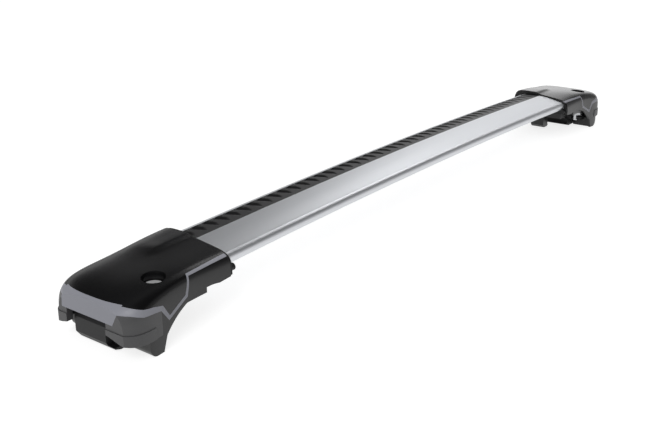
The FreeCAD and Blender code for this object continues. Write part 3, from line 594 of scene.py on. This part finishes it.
@dataclass
class ClampFoot:
    """One foot with its cover, trim, guard, lock and clamp."""

    side: Side

    def build(self, paint: Paintbox) -> None:
        """Dress the foot's nodes.

        Args:
            paint: Materials.
        """
        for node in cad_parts:
            if node.startswith(self.side.value) and not node.endswith("end_plug"):
                paint.dress(node)
        LOG.info("%s foot dressed", self.side.value)


@dataclass(frozen=True)
class SoftLamp:
    """Rectangular lamp that points at the object."""

    name: str
    place: Point
    size: tuple[float, float]
    watts: float

    def hang(self, target: Point) -> None:
        """Put the lamp into the scene.

        Args:
            target: What it points at.
        """
        data = bpy.data.lights.new(self.name, "AREA")
        data.shape = "RECTANGLE"
        data.size, data.size_y = self.size
        data.energy = self.watts
        lamp = bpy.data.objects.new(self.name, data)
        lamp.location = self.place
        aim = Vector(target) - Vector(self.place)
        lamp.rotation_mode = "QUATERNION"
        lamp.rotation_quaternion = aim.to_track_quat("-Z", "Y")
        bpy.context.scene.collection.objects.link(lamp)


LAMPS = (
    SoftLamp("key", (-2.3, -0.8, 1.9), (1.6, 1.0), 30.0),
    SoftLamp("top", (1.7, 0.2, 1.6), (1.4, 0.7), 9.0),
    SoftLamp("rim", (0.2, 2.4, 1.0), (2.4, 0.5), 3.0),
)

# Brightness of the surroundings in reflections: (place on the ramp, level), from the horizon to overhead

SKY_STOPS = ((0.0, 0.85), (0.08, 1.0), (0.27, 1.0), (0.36, 0.4), (0.46, 0.09), (0.7, 0.06), (1.0, 0.12))


@dataclass
class Studio:
    """Camera, floor, surroundings and lamps."""

    camera_place: Point = (-0.9626, -0.5813, 0.3811)
    yaw_deg: float = 36.76
    pitch_deg: float = 20.0
    roll_deg: float = 0.05
    focal_px: float = 913.0
    picture_width_px: float = 650.0
    sensor_mm: float = 36.0
    seen_from: float = 0.01
    seen_to: float = 100.0
    floor_half: float = 9.0
    floor_gap: float = 0.05 * MM
    floor_tone: float = 0.42
    floor_glow: float = 0.8
    lamp_target: Point = (0.0, 0.0, 0.03)
    sky_blue: float = 1.01
    ambient: float = 0.4
    sheen_side: float = 0.3
    sheen_near: tuple[float, float] = (0.1, 1.6)
    sheen_far: tuple[float, float] = (0.5, 0.36)

    def camera(self) -> None:
        """Create the camera at the photograph's place and angle."""
        data = bpy.data.cameras.new("camera")
        data.sensor_width = self.sensor_mm
        data.lens = self.focal_px / self.picture_width_px * self.sensor_mm
        data.clip_start = self.seen_from
        data.clip_end = self.seen_to
        eye = bpy.data.objects.new("camera", data)
        yaw, pitch = math.radians(self.yaw_deg), math.radians(self.pitch_deg)
        level = math.cos(pitch)
        ahead = Vector((math.cos(yaw) * level, math.sin(yaw) * level, -math.sin(pitch)))
        eye.rotation_mode = "QUATERNION"
        roll = Quaternion(ahead, math.radians(-self.roll_deg))
        eye.rotation_quaternion = roll @ ahead.to_track_quat("-Z", "Y")
        eye.location = self.camera_place
        bpy.context.scene.collection.objects.link(eye)
        bpy.context.scene.camera = eye

    def floor(self) -> None:
        """Pale floor that keeps the object's shadow and is clear from below."""
        reach = self.floor_half
        low = -self.floor_gap
        mesh = bpy.data.meshes.new("floor")
        corners = [(-reach, -reach, low), (reach, -reach, low), (reach, reach, low), (-reach, reach, low)]
        mesh.from_pydata(corners, [], [(0, 1, 2, 3)])
        floor = bpy.data.objects.new("floor", mesh)
        bpy.context.scene.collection.objects.link(floor)
        material = bpy.data.materials.new("floor_white")
        material.use_nodes = True
        material.node_tree.nodes.clear()
        wiring = Wiring(material.node_tree)
        output = wiring.add("ShaderNodeOutputMaterial")
        matt = wiring.feed(wiring.add("ShaderNodeBsdfDiffuse"), Color=grey(self.floor_tone))
        seen = self.seen_directly(wiring)
        glow = wiring.feed(wiring.add("ShaderNodeEmission"), Color=grey(1.0),
                           Strength=wiring.math("MULTIPLY", seen, self.floor_glow))
        both = wiring.add("ShaderNodeAddShader")
        wiring.put(both.inputs[0], matt.outputs[0])
        wiring.put(both.inputs[1], glow.outputs[0])
        side = wiring.add("ShaderNodeNewGeometry")
        clear = wiring.add("ShaderNodeMixShader")
        wiring.put(clear.inputs[0], side.outputs["Backfacing"])
        wiring.put(clear.inputs[1], both.outputs[0])
        wiring.put(clear.inputs[2], wiring.add("ShaderNodeBsdfTransparent").outputs[0])
        wiring.feed(output, Surface=clear.outputs[0])
        mesh.materials.append(material)

    @staticmethod
    def seen_directly(wiring: Wiring) -> bpy.types.NodeSocket:
        """Mask of what the camera, a reflection or a clear body shows.

        Args:
            wiring: Tree that the nodes go into.

        Returns:
            The mask.
        """
        path = wiring.add("ShaderNodeLightPath").outputs
        shown = wiring.math("MAXIMUM", path["Is Camera Ray"], path["Is Glossy Ray"])
        return wiring.math("MAXIMUM", shown, path["Is Transmission Ray"])

    def surroundings(self) -> None:
        """White surroundings that in reflections darken overhead and shine most from one side."""
        world = bpy.data.worlds.new("studio")
        bpy.context.scene.world = world
        world.use_nodes = True
        world.node_tree.nodes.clear()
        wiring = Wiring(world.node_tree)
        output = wiring.add("ShaderNodeOutputWorld")
        place = wiring.add("ShaderNodeTexCoord")
        axes = wiring.feed(wiring.add("ShaderNodeSeparateXYZ"), Vector=place.outputs["Generated"])
        ramp = wiring.add("ShaderNodeValToRGB")
        wiring.feed(ramp, Fac=axes.outputs["Z"])
        elements = ramp.color_ramp.elements
        given = len(elements)
        for index, (at, level) in enumerate(SKY_STOPS):
            element = elements[index] if index < given else elements.new(at)
            element.position = at
            element.color = (level, level, level * self.sky_blue, 1.0)
        aside = wiring.math("ABSOLUTE", wiring.math("SUBTRACT", axes.outputs["Y"], self.sheen_side))
        (near, strong), (far, weak) = self.sheen_near, self.sheen_far
        share = wiring.feed(wiring.add("ShaderNodeMapRange"), Value=aside, From_Min=near, From_Max=far,
                            To_Min=strong, To_Max=weak)
        sheen = wiring.mix("MULTIPLY", 1.0, ramp.outputs[0], share.outputs[0])
        path = wiring.add("ShaderNodeLightPath").outputs
        mirror = wiring.math("MAXIMUM", path["Is Glossy Ray"], path["Is Transmission Ray"])
        soft = wiring.mix("MIX", mirror, grey(self.ambient), sheen)
        white = wiring.mix("MIX", path["Is Camera Ray"], soft, grey(1.0))
        back = wiring.feed(wiring.add("ShaderNodeBackground"), Color=white, Strength=1.0)
        wiring.feed(output, Surface=back.outputs[0])

    def build(self) -> None:
        """Set the whole studio up."""
        self.camera()
        self.floor()
        self.surroundings()
        for lamp in LAMPS:
            lamp.hang(self.lamp_target)
        bpy.context.scene.view_settings.view_transform = "Standard"
        LOG.info("studio set")


def main() -> None:
    """Build the scene in order and report each part of it."""
    logging.basicConfig(level=logging.INFO, format="%(name)s: %(message)s")
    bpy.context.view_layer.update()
    paint = Paintbox()
    Studio().build()
    line = BarLine()
    Crossbar(line).build(paint)
    for side in Side:
        ClampFoot(side).build(paint)


if __name__ == "__main__":
    main()
